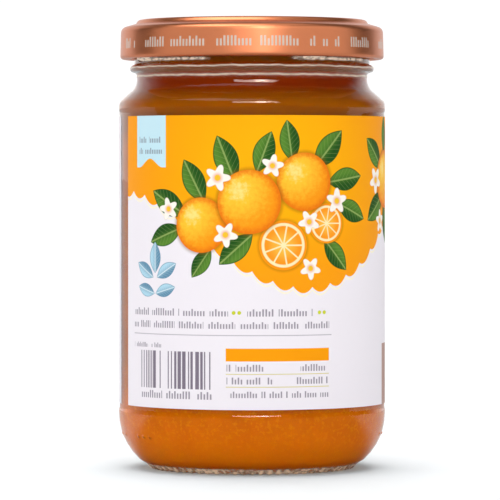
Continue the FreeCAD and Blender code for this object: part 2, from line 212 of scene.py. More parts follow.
def outer_glass():
    """Outside of the glass, from the rim down and in to the axis."""
    crown = (CROWN_SETBACK, CROWN_ROUND, CROWN_ROUND, CROWN_SLOPE)
    bead = (BEAD_REACH, BEAD_FILLET, BEAD_NOSE, BEAD_SLOPE)
    shoulder = (SHOULDER_STEP, NECK_ROUND, SHOULDER_ROUND, SHOULDER_SLOPE)
    into_panel = (-PANEL_RECESS, PANEL_STEP_ROUND, PANEL_STEP_ROUND, SHOULDER_SLOPE)
    out_of_panel = (PANEL_RECESS, PANEL_STEP_ROUND, PANEL_STEP_ROUND, SHOULDER_SLOPE)
    path = Outline(FINISH_RADIUS - CROWN_SETBACK - RIM_ROUND, RIM_Z, OUT)
    path.bend(RIM_ROUND, -90.0)
    path.to_z(RIM_Z - CROWN_HEIGHT + fall(*crown))
    path.sidestep(*crown)
    path.to_z(THREAD_Z + 1.0, THREAD_STEP)
    path.to_z(BEAD_Z + fall(*bead), BEAD_STEP)
    path.sidestep(*bead)
    path.sidestep(-BEAD_REACH - NECK_RELIEF, BEAD_NOSE, NECK_FILLET, BEAD_SLOPE)
    path.to_z(SHOULDER_Z + fall(*shoulder), BEAD_STEP)
    path.sidestep(*shoulder)
    path.to_z(LABEL_HIGH + PANEL_MARGIN + fall(*into_panel))
    path.sidestep(*into_panel)
    path.to_z(LABEL_LOW - PANEL_MARGIN, WALL_STEP)
    path.sidestep(*out_of_panel)
    path.to_z(HEEL_TOP)
    add_heel(path)
    path.run(BEARING_WIDTH, 0.4)
    path.sidestep(-PUSH_UP, PUSH_UP_ROUND, PUSH_UP_ROUND, STEP_SLOPE)
    return path.to_r(0.0, FLAT_STEP)


def bore_widens():
    """Height where the bore starts to widen, so that the sloping wall is as thick as the body's."""
    slope = math.radians(SHOULDER_SLOPE)
    outer = Outline(BODY_RADIUS, SHOULDER_Z, UP).bend(SHOULDER_ROUND, SHOULDER_SLOPE).end
    wall = outer - WALL * np.array([math.cos(slope), math.sin(slope)])
    inner = Outline(0.0, 0.0, DOWN).bend(NECK_ROUND + WALL, SHOULDER_SLOPE).end
    return wall[1] + (wall[0] - MOUTH_RADIUS - inner[0]) / math.tan(slope) - inner[1]


def inner_glass(top, outwards=0.0):
    """Inside of the glass from height top down to the axis, or that wall moved outwards into the glass."""
    bore = MOUTH_RADIUS + outwards
    radius = BODY_RADIUS - WALL + outwards
    path = Outline(bore, top, DOWN)
    path.to_z(bore_widens(), 2.0)
    path.sidestep(radius - bore, NECK_ROUND + WALL - outwards, INNER_SHOULDER_ROUND + outwards, SHOULDER_SLOPE)
    path.to_z(HEEL_TOP, WALL_STEP)
    path.bend(HEEL_ROUND - WALL + outwards, -HEEL_TURN)
    left = 90.0 - HEEL_TURN
    rise = path.end[1] - (INNER_FLOOR - outwards)
    path.bend(rise / (1.0 - math.cos(math.radians(left))), -left)
    return path.to_r(0.0, FLAT_STEP)


# ---------------------------------------------------------------- surfaces
def smoothstep(value, low, high):
    """0 at low, 1 at high, with level ends: 3 t^2 - 2 t^3."""
    share = np.clip((value - low) / (high - low), 0.0, 1.0)
    return share * share * (3.0 - 2.0 * share)


def angles_round(count):
    """count angles in radians, from -Y towards +X."""
    return np.arange(count) * (2.0 * math.pi / count)


def on_circle(r, z, phi):
    """Points (r sin phi, -r cos phi, z), in metres."""
    return np.stack([r * np.sin(phi), -r * np.cos(phi), z], axis=-1) * MM


def add_mesh(name, points, faces, material):
    """A smooth mesh object from an array of points and a list of arrays of faces, riding on the jar's body."""
    mesh = bpy.data.meshes.new(name)
    mesh.from_pydata(points.reshape(-1, 3).tolist(), [], [face for block in faces for face in block.tolist()])
    mesh.shade_smooth()
    mesh.materials.append(material)
    if mesh.validate():
        raise RuntimeError(f"{name} has bad faces")
    piece = bpy.data.objects.new(name, mesh)
    bpy.context.scene.collection.objects.link(piece)
    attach(piece, ROOT)
    return piece


def turned_surface(name, profile, count, material, relief=None):
    """A profile that runs from pole to pole on the axis, carried round Z.

    Point (i, j) is the profile's point i at angle 2 pi j / count, moved by relief(r, z, phi) = (dr, dz, marks), where
    marks holds one value per point for each of the surface's attributes.
    """
    r, z = profile[1:-1, 0][:, None], profile[1:-1, 1][:, None]
    phi = angles_round(count)[None, :]
    r, z, phi = np.broadcast_arrays(r, z, phi)
    marks = {}
    if relief:
        dr, dz, marks = relief(r, z, phi)
        r, z = r + dr, z + dz
    rings = on_circle(r, z, phi).reshape(-1, 3)
    poles = np.array([[0.0, 0.0, profile[0, 1]], [0.0, 0.0, profile[-1, 1]]]) * MM
    ring = np.arange(r.shape[0] - 1)[:, None] * count
    here = np.arange(count)[None, :]
    there = (here + 1) % count
    quads = np.stack([ring + here, ring + count + here, ring + count + there, ring + there], axis=-1)
    first, last = len(rings), len(rings) + 1
    base = (r.shape[0] - 1) * count
    fan_first = np.stack([np.full(count, first), here[0], there[0]], axis=-1)
    fan_last = np.stack([np.full(count, last), base + there[0], base + here[0]], axis=-1)
    piece = add_mesh(name, np.concatenate([rings, poles]), [quads.reshape(-1, 4), fan_first, fan_last], material)
    for mark, values in marks.items():
        layer = piece.data.attributes.new(mark, "FLOAT", "POINT")
        layer.data.foreach_set("value", np.append(values.ravel(), (0.0, 0.0)).astype(np.float32))
    return piece


def waves(phi, z, seeds):
    """A slow unevenness between -1 and 1: a mean of sines in the angle and the height."""
    total = sum(np.sin(turns * phi + rise * z + shift) for turns, rise, shift in seeds)
    return total / len(seeds)


# ---------------------------------------------------------------- shader maths
class Wire:
    """A socket that takes part in arithmetic. Each operator adds one Math node."""

    def __init__(self, graph, socket):
        self.graph, self.socket = graph, socket

    def _math(self, operation, *values):
        made = self.graph.node("ShaderNodeMath", {"operation": operation}, dict(enumerate(values)))
        return Wire(self.graph, made.outputs[0])

    def __add__(self, other):
        return self._math("ADD", self, other)

    def __sub__(self, other):
        return self._math("SUBTRACT", self, other)

    def __rsub__(self, other):
        return self._math("SUBTRACT", other, self)

    def __mul__(self, other):
        return self._math("MULTIPLY", self, other)

    def __truediv__(self, other):
        return self._math("DIVIDE", self, other)

    def __abs__(self):
        return self._math("ABSOLUTE", self)

    def above(self, other):
        return self._math("GREATER_THAN", self, other)

    def most(self, other):
        return self._math("MAXIMUM", self, other)

    def floor(self):
        return self._math("FLOOR", self)

    def fraction(self):
        return self._math("FRACT", self)

    def cosine(self):
        return self._math("COSINE", self)

    def arcsine(self):
        return self._math("ARCSINE", self)

    def arctan2(self, other):
        return self._math("ARCTAN2", self, other)

    def wrap(self, low, high):
        return self._math("WRAP", self, high, low)

    __radd__ = __add__
    __rmul__ = __mul__


class Graph:
    """One node tree, and the few ways in which nodes are added to it."""

    def __init__(self, owner):
        owner.use_nodes = True
        self.owner = owner
        self.tree = owner.node_tree
        self.tree.nodes.clear()

    def node(self, kind, settings=None, inputs=None):
        """A node of that type. Its settings come first, then its sockets' values or wires. A colour is (r, g, b)."""
        made = self.tree.nodes.new(kind)
        for name, value in (settings or {}).items():
            setattr(made, name, value)
        for key, value in (inputs or {}).items():
            socket = made.inputs[key]
            if isinstance(value, Wire):
                self.tree.links.new(value.socket, socket)
            else:
                socket.default_value = (*value, 1.0) if socket.type == "RGBA" else value
        return made

    def out(self, kind, settings=None, inputs=None, output=0):
        return Wire(self, self.node(kind, settings, inputs).outputs[output])

    def smooth(self, value, low, high):
        """0 at low, 1 at high, level at both ends. low may be the larger."""
        return self.out("ShaderNodeMapRange", {"interpolation_type": "SMOOTHSTEP"}, {0: value, 1: low, 2: high})

    def within(self, value, low, high, soft):
        return self.smooth(value, low - soft, low + soft) * self.smooth(value, high + soft, high - soft)

    def mix(self, under, over, share, blend="MIX"):
        """under, with over laid on it by share."""
        return self.out("ShaderNodeMix", {"data_type": "RGBA", "blend_type": blend},
                        {0: share, 6: under, 7: over}, 2)

    def vector(self, x, y, z=0.0):
        return self.out("ShaderNodeCombineXYZ", None, {0: x, 1: y, 2: z})

    def parts(self, vector):
        split = self.node("ShaderNodeSeparateXYZ", None, {0: vector})
        return [Wire(self, socket) for socket in split.outputs]

    def distance(self, point, place):
        return self.out("ShaderNodeVectorMath", {"operation": "DISTANCE"}, {0: point, 1: place}, 1)

    def noise(self, point, scale, detail=2.0, rough=0.5):
        return self.out("ShaderNodeTexNoise", None,
                        {"Vector": point, "Scale": scale, "Detail": detail, "Roughness": rough})

    def chance(self, value):
        """A number between 0 and 1 that is fixed for each value."""
        return self.out("ShaderNodeTexWhiteNoise", {"noise_dimensions": "1D"}, {"W": value})

    def mirrored(self):
        """Two shares: 1 for a ray that comes off a gloss, and 1 for one that comes off a polished face."""
        rays = self.node("ShaderNodeLightPath").outputs
        glossy = Wire(self, rays["Is Glossy Ray"]) * Wire(self, rays["Is Reflection Ray"])
        polished = Wire(self, rays["Is Singular Ray"]) * Wire(self, rays["Is Reflection Ray"])
        return glossy * (1.0 - polished), polished

    def from_table(self):
        """1 for a ray that a matt surface sent in through glass."""
        rays = self.node("ShaderNodeLightPath").outputs
        return Wire(self, rays["Is Transmission Ray"]) * Wire(self, rays["Diffuse Depth"]).above(0.5)

    def place(self):
        return self.out("ShaderNodeTexCoord", output=3)

    def bump(self, height, strength, distance):
        return self.out("ShaderNodeBump", None, {"Strength": strength, "Distance": distance, "Height": height})

    def principled(self, **sockets):
        names = {name.replace("_", " "): value for name, value in sockets.items()}
        return self.out("ShaderNodeBsdfPrincipled", None, names)

    def blend(self, under, over, share):
        """The shader under, with the shader over laid on it by share."""
        return self.out("ShaderNodeMixShader", None, {0: share, 1: under, 2: over})

    def finish(self, shader):
        """Gives the material that shader, and hands the material back."""
        self.node("ShaderNodeOutputMaterial", None, {"Surface": shader})
        return self.owner


# ---------------------------------------------------------------- glass
# sines as (turns round the jar, radians per millimetre of height, shift)
# the first two sets of sines shape the painted highlights on the glass, the third bends the bare glass itself
BEAD_WOBBLE = ((4, 0.0, 0.4), (9, 0.0, 2.0), (17, 0.0, 5.0), (31, 0.0, 1.1), (53, 0.0, 3.0))
PAINTED_GLINT_WAVES = ((13, 1.0, 0.3), (29, -2.0, 1.3), (61, 3.0, 2.6), (97, 0.0, 4.1))
UNEVEN = ((3, 0.31, 0.2), (5, -0.42, 1.9), (11, 0.9, 4.0), (23, 1.7, 2.2), (41, 2.3, 0.7))


def hump(value, middle, half):
    """1 at middle, falling as exp(-x^2), with x = 1 at half away."""
    return np.exp(-((value - middle) / half) ** 2)


def turns_off(degrees, middle):
    """How far an angle is from middle, between -180 and 180."""
    return (degrees - middle + 180.0) % 360.0 - 180.0


def thread_ramps(z, degrees):
    """How far the ramps stand out: reach * sqrt(1 - (dz / half)^2) about a height that rises with the angle."""
    reach = np.zeros(z.shape)
    for number in range(THREAD_STARTS):
        along = (degrees - THREAD_START - number * 360.0 / THREAD_STARTS) % 360.0
        middle = THREAD_Z + THREAD_LEAD * along / 360.0
        section = np.sqrt(np.clip(1.0 - ((z - middle) / (THREAD_HEIGHT / 2.0)) ** 2, 0.0, 1.0))
        ends = smoothstep(along, 0.0, THREAD_RUN_OUT) * smoothstep(along, THREAD_SPAN, THREAD_SPAN - THREAD_RUN_OUT)
        reach = np.maximum(reach, THREAD_REACH * section * ends)
    return reach


def painted_finish_glints(r, z, phi, on_finish, ramps, glint):
    """Painted highlight: how much pale surface is laid where the bead's two wavy edges, the ramps and the glass under
    their low ends glint.
    """
    wobble = waves(phi, z, BEAD_WOBBLE)
    on_bead = (r > NECK_RADIUS - 0.2) & (z > BEAD_Z - 4.5)
    # painted highlights: two pale lines along the bead's edges, a faint pale haze between them, the ramps, and the
    # glass under their low ends
    upper_edge_highlight = 0.85 * hump(z, BEAD_Z + 0.22 + 0.22 * wobble, 0.20)
    lower_edge_highlight = 0.75 * hump(z, BEAD_Z - 2.0 + 0.18 * wobble, 0.26)
    painted_bead_haze = 0.06 * smoothstep(z, BEAD_Z - 3.4, BEAD_Z - 1.6) * smoothstep(z, BEAD_Z + 0.4, BEAD_Z)
    painted_glint = on_bead * (np.maximum(upper_edge_highlight, lower_edge_highlight) * glint + painted_bead_haze)
    painted_glint = np.maximum(painted_glint, 1.1 * np.clip(ramps / THREAD_REACH, 0.0, 1.0) ** 2 * glint)
    along = (np.degrees(phi) - THREAD_START - 3.0) % (360.0 / THREAD_STARTS)
    under = on_finish * smoothstep(along, 0.0, 4.0) * smoothstep(along, 50.0, 44.0)
    return np.maximum(painted_glint, under * hump(z, THREAD_Z - 0.3, 0.32) * (0.60 + 0.50 * glint))


def nubs(r, z, degrees):
    """Small domes on the heel, reach * (1 - (distance / radius)^2), and the shade on the lower side of each."""
    nub_r = BODY_RADIUS - HEEL_ROUND + HEEL_ROUND * math.cos(math.radians(NUB_TURN))
    nub_z = HEEL_TOP - HEEL_ROUND * math.sin(math.radians(NUB_TURN))
    domes, shade = np.zeros(r.shape), np.zeros(r.shape)
    for angle in NUB_ANGLES:
        across = nub_r * np.radians(turns_off(degrees, angle))
        away = np.hypot(across, np.hypot(z - nub_z, r - nub_r)) / NUB_RADIUS
        domes += NUB_REACH * np.clip(1.0 - away ** 2, 0.0, 1.0)
        shade = np.maximum(shade, np.clip(1.5 - 1.2 * away, 0.0, 1.0) * (z < nub_z + 0.2))
    return domes, shade


def glass_relief(r, z, phi):
    """What stands out of or is cut into the turned glass, as (dr, dz) in millimetres, and the marks painted on it.

    The foot is notched by (1 - cos(n phi)) / 2, so that its tips stay on the floor. The bare glass is uneven by a sum
    of sines. One mark is painted highlight: a pale surface laid where the mould's edges and the thread glint, and on
    the stippled foot, where it is partly the real frosted look; shade is where a nub's side looks dark.
    """
    settings = bpy.context.scene.jam_jar
    degrees = np.degrees(phi)
    on_finish = (r > FINISH_RADIUS - 0.01) & (z > BEAD_Z + 1.2)
    ramps = thread_ramps(z, degrees) * on_finish
    domes, shade = nubs(r, z, degrees)
    # the strength of the painted highlights waves a little round the glass
    glint = 0.80 + 0.20 * waves(phi, z, PAINTED_GLINT_WAVES)
    painted_glint = painted_finish_glints(r, z, phi, on_finish, ramps, glint)
    # the foot: its side and the outer part of the bearing ring
    foot = (z < FOOT_HEIGHT) * smoothstep(r, *KNURL_EDGE) * smoothstep(z, FOOT_HEIGHT, FOOT_HEIGHT * 0.5)
    shallower = 0.75 + 0.25 * np.sin(7.0 * phi + 1.0)
    knurl = 0.5 - 0.5 * np.cos(settings.knurl_count * phi + 0.9 * np.sin(5.0 * phi))
    notch = settings.knurl_depth / MM * knurl * foot * shallower
    # painted highlight on the foot, partly its real frosted look: pale, less so where the notches are deep
    low = (r > FOOT_INSIDE) * smoothstep(z, *PAINTED_GLINT_TOP)
    painted_glint = np.maximum(painted_glint, low * (0.90 - 0.35 * knurl * shallower) * glint)
    # a moulded surface is never quite true; the label's panel stays smooth
    bare = (r > PANEL_RADIUS - 12.0) * np.maximum(smoothstep(z, LABEL_HIGH + 0.6, LABEL_HIGH + 3.0),
                                                  smoothstep(z, LABEL_LOW - 0.6, LABEL_LOW - 3.0))
    bare = bare * smoothstep(z, 1.2, 3.0)
    uneven = (waves(phi, z, UNEVEN) - 1.0) * settings.unevenness / MM * bare
    dr = ramps + domes - notch * smoothstep(z, 0.0, 0.5) * 0.8 + uneven
    return dr, notch * smoothstep(z, 0.8, 0.0), {"painted_glint": painted_glint, "shade": shade}


def glass_material():
    """Clear glass, mixed by a painted-highlight mark with a pale scattering surface, and tinted brown by shade."""
    settings = bpy.context.scene.jam_jar
    graph = Graph(bpy.data.materials.new("clear_flint_glass"))
    # painted highlight: the first attribute lays the pale surface below over the clear glass, speckled where the glass
    # is stippled
    painted_glint = graph.out("ShaderNodeAttribute", {"attribute_name": "painted_glint"}, output=2)
    shade = graph.out("ShaderNodeAttribute", {"attribute_name": "shade"}, output=2)
    ripple = graph.noise(graph.place(), 90.0, 1.0)
    blob = graph.smooth(graph.noise(graph.place(), 850.0, 2.0), 0.38, 0.62)
    height = graph.parts(graph.place())[2] / MM
    foot = graph.smooth(height, 4.0, 3.0)
    stippled = foot + graph.smooth(height, BEAD_Z + 0.8, BEAD_Z + 1.2)
    relief = graph.bump(ripple, 0.25, 0.0002)
    glass = graph.principled(Base_Color=graph.mix((0.985, 0.995, 0.99), (0.20, 0.10, 0.05), shade), Roughness=0.0,
                             IOR=1.5, Transmission_Weight=1.0, Specular_IOR_Level=settings.glass_shine, Normal=relief)
    # the pale surface of the painted highlight, tan on the foot
    edge = graph.principled(Base_Color=graph.mix((1.0, 0.80, 0.63), (0.92, 0.68, 0.48), foot), Roughness=0.4,
                            Specular_IOR_Level=0.2, Normal=relief)
    return graph.finish(graph.blend(glass, edge, painted_glint * (0.95 + (blob - 0.5) * (0.15 + stippled * 0.75))))


# ---------------------------------------------------------------- jam
def jam_material():
    """Orange jam with cloudy pulp and fine pale threads of peel; painted shade makes it darker and browner towards the
    neck, and painted light lighter at the foot.
    """
    settings = bpy.context.scene.jam_jar
    graph = Graph(bpy.data.materials.new("orange_jam"))
    place = graph.place()
    height = graph.parts(place)[2] / MM
    cloud = graph.noise(place, 160.0, 4.0, 0.6)
    stretched = graph.out("ShaderNodeMapping", None, {"Vector": place, "Scale": (1.0, 1.0, 2.6)})
    thread = graph.noise(stretched, 420.0, 2.0, 0.55)
    colour = graph.mix(settings.jam_shade, settings.jam_light, graph.smooth(cloud, 0.32, 0.68))
    colour = graph.mix(colour, (0.96, 0.40, 0.002), graph.smooth(thread, 0.58, 0.74) * 0.25)
    pulp = graph.noise(place, 1000.0, 2.0, 0.6)
    colour = graph.mix(colour, (1.0, 0.40, 0.002), graph.smooth(pulp, 0.52, 0.66) * 0.28)
    # painted light: the jam is made lighter towards the foot
    colour = graph.mix(colour, settings.jam_lit_foot, graph.smooth(height, 14.0, 3.0) * 0.8)
    # painted shade: the jam is darkened from just above the label's foot, and more near the label's top and above it
    shade_behind_label = graph.smooth(height, LABEL_LOW, LABEL_LOW + 12.0) * 0.45
    shade_near_label_top = graph.smooth(height, LABEL_LOW + 60.0, LABEL_HIGH - 1.0)
    colour = graph.mix(colour, settings.jam_shoulder_shade, shade_behind_label.most(shade_near_label_top))
    # painted shade: darkest and brownest in the neck under the lid, less dark again at the bead
    colour = graph.mix(colour, settings.jam_neck_shade, graph.smooth(height, SHOULDER_Z + 0.5, SHOULDER_Z + 5.0))
    colour = graph.mix(colour, settings.jam_shoulder_shade, graph.smooth(height, BEAD_Z - 1.5, BEAD_Z + 1.5))
    # painted shade: to rays that a matt surface sent in through the glass, such as from the table, the jam is dark
    # grey, so the shadow round the foot is deeper and not orange
    colour = graph.mix(colour, (0.12, 0.12, 0.12), graph.from_table())
    return graph.finish(graph.principled(
        Base_Color=colour, Roughness=0.35, IOR=1.36, Specular_IOR_Level=0.0, Subsurface_Weight=0.35,
        Subsurface_Radius=(1.0, 0.35, 0.1), Subsurface_Scale=0.002, Normal=graph.bump(cloud, 0.2, 0.0003)))


# ---------------------------------------------------------------- lid
def lid_profile():
    """Both faces of the sheet: from the button out, down the skirt, round the curl, and back on the inside.

    The inner face is the outer one moved by the sheet's thickness along its normal.
    """
    sink = Outline(0.0, 0.0, OUT).sidestep(PANEL_SINK, PANEL_SINK_ROUND, PANEL_SINK_ROUND, PANEL_SINK_SLOPE).end[0]
    corner_turn = LEDGE_SLOPE + SKIRT_LEAN - 90.0
    corner = Outline(0.0, 0.0, -LEDGE_SLOPE).bend(LID_CORNER_ROUND, corner_turn).end[0]
    path = Outline(0.0, LID_TOP - PANEL_SINK - BUTTON_DROP, OUT)
    path.to_r(BUTTON_RADIUS, 3.0)
    path.sidestep(BUTTON_DROP, BUTTON_ROUND, BUTTON_ROUND, BUTTON_SLOPE)
    path.to_r(CHANNEL_EDGE - CHANNEL_WIDTH - sink, 3.0)
    path.sidestep(PANEL_SINK, PANEL_SINK_ROUND, PANEL_SINK_ROUND, PANEL_SINK_SLOPE)
    path.to_r(CHANNEL_EDGE, 1.0)
    path.sidestep(-CHANNEL_RISE, CHANNEL_EDGE_ROUND, CHANNEL_EDGE_HOLLOW, CHANNEL_EDGE_SLOPE)
    path.bend(LEDGE_ROUND, -LEDGE_SLOPE)
    path.to_r(SKIRT_RADIUS - corner, 0.5)
    path.bend(LID_CORNER_ROUND, corner_turn)
    path.to_z(LID_BOTTOM + CURL_RADIUS * (1.0 + math.sin(math.radians(SKIRT_LEAN))), 0.7)
    path.bend(CURL_RADIUS, -CURL_TURN)
    outside = path.points()
    # each point's normal, to its right, is square to the way from its neighbour before to its neighbour after
    along = np.gradient(outside, axis=0)
    right = np.stack([along[:, 1], -along[:, 0]], axis=1) / np.linalg.norm(along, axis=1, keepdims=True)
    inside = outside + SHEET * right
    inside[0, 0] = 0.0
    return np.concatenate([outside, inside[::-1]])


def lid_relief(r, z, phi):
    """The curl is pressed in to a lug under each ramp: dr falls where the curl's inner side is near its middle."""
    degrees = np.degrees(phi)
    curl_inside = SKIRT_RADIUS - 2.0 * CURL_RADIUS
    inner_side = smoothstep(r, curl_inside + 1.2, curl_inside + 0.2) * (z < LID_BOTTOM + 2.0 * CURL_RADIUS)
    dr = np.zeros(r.shape)
    for number in range(THREAD_STARTS):
        middle = THREAD_START + LUG_AFTER_LOW_END + LUG_SPAN / 2.0 + number * 360.0 / THREAD_STARTS
        across = np.abs(turns_off(degrees, middle))
        dr -= LUG_REACH * inner_side * smoothstep(across, LUG_SPAN / 2.0, LUG_SPAN / 2.0 - 2.5)
    return dr, -0.12 * np.sign(z - LID_BOTTOM - CURL_RADIUS) * np.abs(dr), {}


def lid_material():
    """Copper lacquer on steel, with a ring of pale printed ticks in word-like groups round the skirt."""
    settings = bpy.context.scene.jam_jar
    graph = Graph(bpy.data.materials.new("copper_lacquer"))
    place = graph.place()
    x, y, z = graph.parts(place)
    height = z / MM
    round_skirt = x.arctan2(y * -1.0) * SKIRT_RADIUS
    grain = graph.noise(graph.out("ShaderNodeMapping", None, {"Vector": place, "Scale": (1.0, 1.0, 12.0)}), 300.0, 3.0)
    mottle = graph.noise(place, 35.0, 3.0)
    cell = (round_skirt / TICK_PITCH).floor()
    tall = 1.75 + graph.chance(cell).above(0.5) * 0.75
    kept = graph.chance((cell / 2.0).floor() + 90.0).above(0.12)
    gap = graph.chance((cell / TICKS_A_WORD).floor() + 40.0) * 3.0 + 1.5
    in_word = ((cell / TICKS_A_WORD).fraction() * TICKS_A_WORD).above(gap)
    tick = graph.within((round_skirt / TICK_PITCH).fraction(), 0.22, 0.78, 0.07) * kept * in_word
    ink = tick * graph.within(height - (LID_BOTTOM + TICK_LIFT), 0.0, tall, 0.1)
    tone = graph.mix(settings.lid_colour, (0.85, 0.235, 0.095), graph.smooth(mottle, 0.35, 0.7) * 0.3)
    return graph.finish(graph.principled(
        Base_Color=graph.mix(tone, settings.lid_print, ink * 0.9), Metallic=1.0 - ink * 0.8,
        Roughness=0.27 + grain * 0.10, Coat_Weight=0.3, Coat_Roughness=0.12, Normal=graph.bump(grain, 0.06, 0.0001)))


# ---------------------------------------------------------------- label
# the printed art lies in the label's own plane: s millimetres right of the middle of the back panel, h above its foot
REPEAT = LABEL_WIDTH / 2.0
GARLAND, SEAM = 1.5, 56.0
LEAF_TONES = ((0.018, 0.085, 0.012), (0.10, 0.24, 0.030), (0.34, 0.46, 0.13))
SHADOW = (0.20, 0.07, 0.004)
SPRIG_TONES = ((0.12, 0.27, 0.40), (0.42, 0.66, 0.78), (0.80, 0.90, 0.94))
FRUITS = ((46.5, 57.5, 7.4), (-14.6, 46.0, 6.9), (12.0, 56.8, 7.3), (-2.2, 51.8, 8.0))
SLICES = ((6.4, 41.0, 6.2), (18.2, 46.4, 5.0))
LEAVES = ((-24.0, 51.5, 150.0, 6.2), (-25.0, 43.5, 200.0, 5.6), (-16.5, 57.0, 118.0, 6.2), (-8.0, 62.5, 112.0, 6.4),
          (1.5, 64.2, 70.0, 5.6), (8.0, 67.0, 98.0, 5.4), (18.8, 65.0, 48.0, 6.4), (24.4, 57.5, 8.0, 6.0),
          (26.5, 49.5, -22.0, 5.6), (21.0, 38.6, -48.0, 5.4), (-5.6, 40.0, 222.0, 5.8), (-14.5, 36.6, 235.0, 4.6),
          (37.6, 64.0, 140.0, 6.0), (38.5, 50.5, 215.0, 6.2), (46.0, 68.5, 95.0, 5.6), (47.0, 46.5, -75.0, 5.8))
BLOSSOMS = ((-8.2, 43.6, 3.3, 10.0), (-24.0, 50.0, 3.0, 40.0), (-10.2, 57.8, 3.5, 0.0), (13.2, 46.8, 3.1, 25.0),
            (21.4, 52.0, 3.4, 55.0), (13.6, 35.2, 3.0, 15.0), (3.6, 60.8, 3.0, 65.0), (38.2, 57.2, 3.6, 20.0),
            (41.5, 46.8, 3.1, 50.0))
SPRIG = ((-28.6, 37.8, 90.0, 4.0), (-32.4, 34.6, 150.0, 3.7), (-24.8, 34.6, 30.0, 3.7), (-32.0, 29.6, 165.0, 3.4),
         (-25.2, 29.6, 15.0, 3.4))
TEXT_LINES = ((-36.4, -6.0, 23.3, 1.8), (-1.2, 16.0, 23.3, 1.8), (-36.4, 20.6, 20.2, 1.7), (-36.0, -25.0, 15.2, 1.2),
              (-6.4, 4.0, 9.6, 1.7), (12.0, 20.0, 9.6, 1.7), (-6.4, 5.0, 6.4, 1.7), (10.6, 20.2, 6.4, 1.7),
              (-6.4, 20.4, 3.0, 1.6), (-33.0, -10.0, 2.5, 1.9), (64.0, 148.0, 9.0, 2.2), (72.0, 140.0, 5.0, 1.3),
              (-33.4, -24.6, 66.6, 1.5), (-33.4, -24.6, 63.8, 1.5))


class Canvas:
    """The label's plane, with paint laid over paint. s runs to the right and h up, in millimetres.

    Each stroke asks for its coordinates afresh. They are tied to the colour so far by a share too small to show, so
    that the strokes are worked out in turn and few values are held at once.
    """

    TIE = (1e-9, 1e-9, 1e-9)

    def __init__(self, graph, s, h, ground):
        self.graph = graph
        self.flat = graph.vector(s, h)
        self.turned = graph.vector((s - GARLAND).wrap(SEAM - REPEAT, SEAM), h)
        self.colour = ground

    def _tied(self, vector):
        return self.graph.out("ShaderNodeVectorMath", {"operation": "MULTIPLY_ADD"},
                              {0: self.colour, 1: self.TIE, 2: vector})

    def once(self):
        """Coordinates over the whole label."""
        return self.graph.parts(self._tied(self.flat))[:2]

    def twice(self):
        """Coordinates that repeat halfway round the jar."""
        return self._tied(self.turned)

    def lay(self, paint, share):
        self.colour = self.graph.mix(self.colour, paint, share)


def from_middle(graph, point, s, h):
    """Offsets from (s, h), and the distance."""
    x, y, _ = graph.parts(graph.out("ShaderNodeVectorMath", {"operation": "SUBTRACT"}, {0: point, 1: (s, h, 0.0)}))
    return x, y, graph.distance(point, (s, h, 0.0))


def draw_field(canvas, settings):
    """White paper under a marigold field, which ends below in scallops along a slow wave."""
    graph = canvas.graph
    s, h = canvas.once()
    glow = graph.distance(canvas.twice(), (4.0, 60.0, 0.0))
    field = graph.mix(settings.field_light, settings.field, graph.smooth(glow, 6.0, 42.0))
    field = graph.mix(field, settings.field_low, graph.smooth(h, 52.0, 28.0) * 0.7)
    wave = ((s + 38.0) * (2.0 * math.pi / REPEAT)).cosine() * 12.0 + 41.0
    scallop = abs(((s / 5.2).fraction() - 0.5) * 2.0)
    border = h - wave - scallop * scallop * 1.5
    canvas.lay(settings.trim, graph.within(border, -0.9, -0.45, 0.05) * 0.8)
    canvas.lay(field, graph.smooth(border, -0.05, 0.05))


def draw_fruit(canvas, s, h, radius):
    """A round fruit: a disc lit from its upper left, redder towards its rim, with brushed mottling."""
    graph = canvas.graph
    point = canvas.twice()
    brush = graph.noise(point, 0.9, 3.0, 0.65) - 0.5
    away = graph.distance(point, (s, h, 0.0)) / radius
    lit = graph.distance(point, (s - 0.34 * radius, h + 0.36 * radius, 0.0)) / radius + brush * 0.9
    canvas.lay(SHADOW, graph.smooth(away, 1.16, 0.96) * 0.55)
    skin = graph.mix((1.0, 0.56, 0.035), (0.93, 0.30, 0.006), graph.smooth(lit, 0.25, 1.3))
    skin = graph.mix(skin, (0.78, 0.13, 0.004), graph.smooth(away + brush * 0.25, 0.74, 1.02) * 0.75)
    skin = graph.mix(skin, (1.0, 0.80, 0.30), graph.smooth(lit, 0.42, 0.0) * 0.7)
    skin = graph.mix(skin, (0.55, 0.16, 0.01), graph.smooth(brush, 0.20, 0.28) * 0.5)
    canvas.lay(skin, graph.smooth(away, 1.01, 0.99))


def draw_slice(canvas, s, h, radius):
    """A cut wheel: rind, pith, and nine wedges of pulp between thin walls of pith."""
    graph = canvas.graph
    x, y, distance = from_middle(graph, canvas.twice(), s, h)
    away = distance / radius
    wedge = abs((y.arctan2(x) * (9.0 / (2.0 * math.pi))).fraction() - 0.5)
    wall = (0.5 - wedge) * away
    pulp = graph.mix((1.0, 0.50, 0.06), (0.96, 0.30, 0.012), graph.smooth(away, 0.1, 0.8))
    inside = graph.smooth(wall, 0.03, 0.06) * graph.smooth(away, 0.80, 0.76)
    face = graph.mix((1.0, 0.80, 0.45), pulp, inside)
    face = graph.mix(face, (0.93, 0.30, 0.006), graph.smooth(away, 0.88, 0.91))
    canvas.lay(SHADOW, graph.smooth(away, 1.16, 0.96) * 0.45)
    canvas.lay(face, graph.smooth(away, 1.01, 0.99))


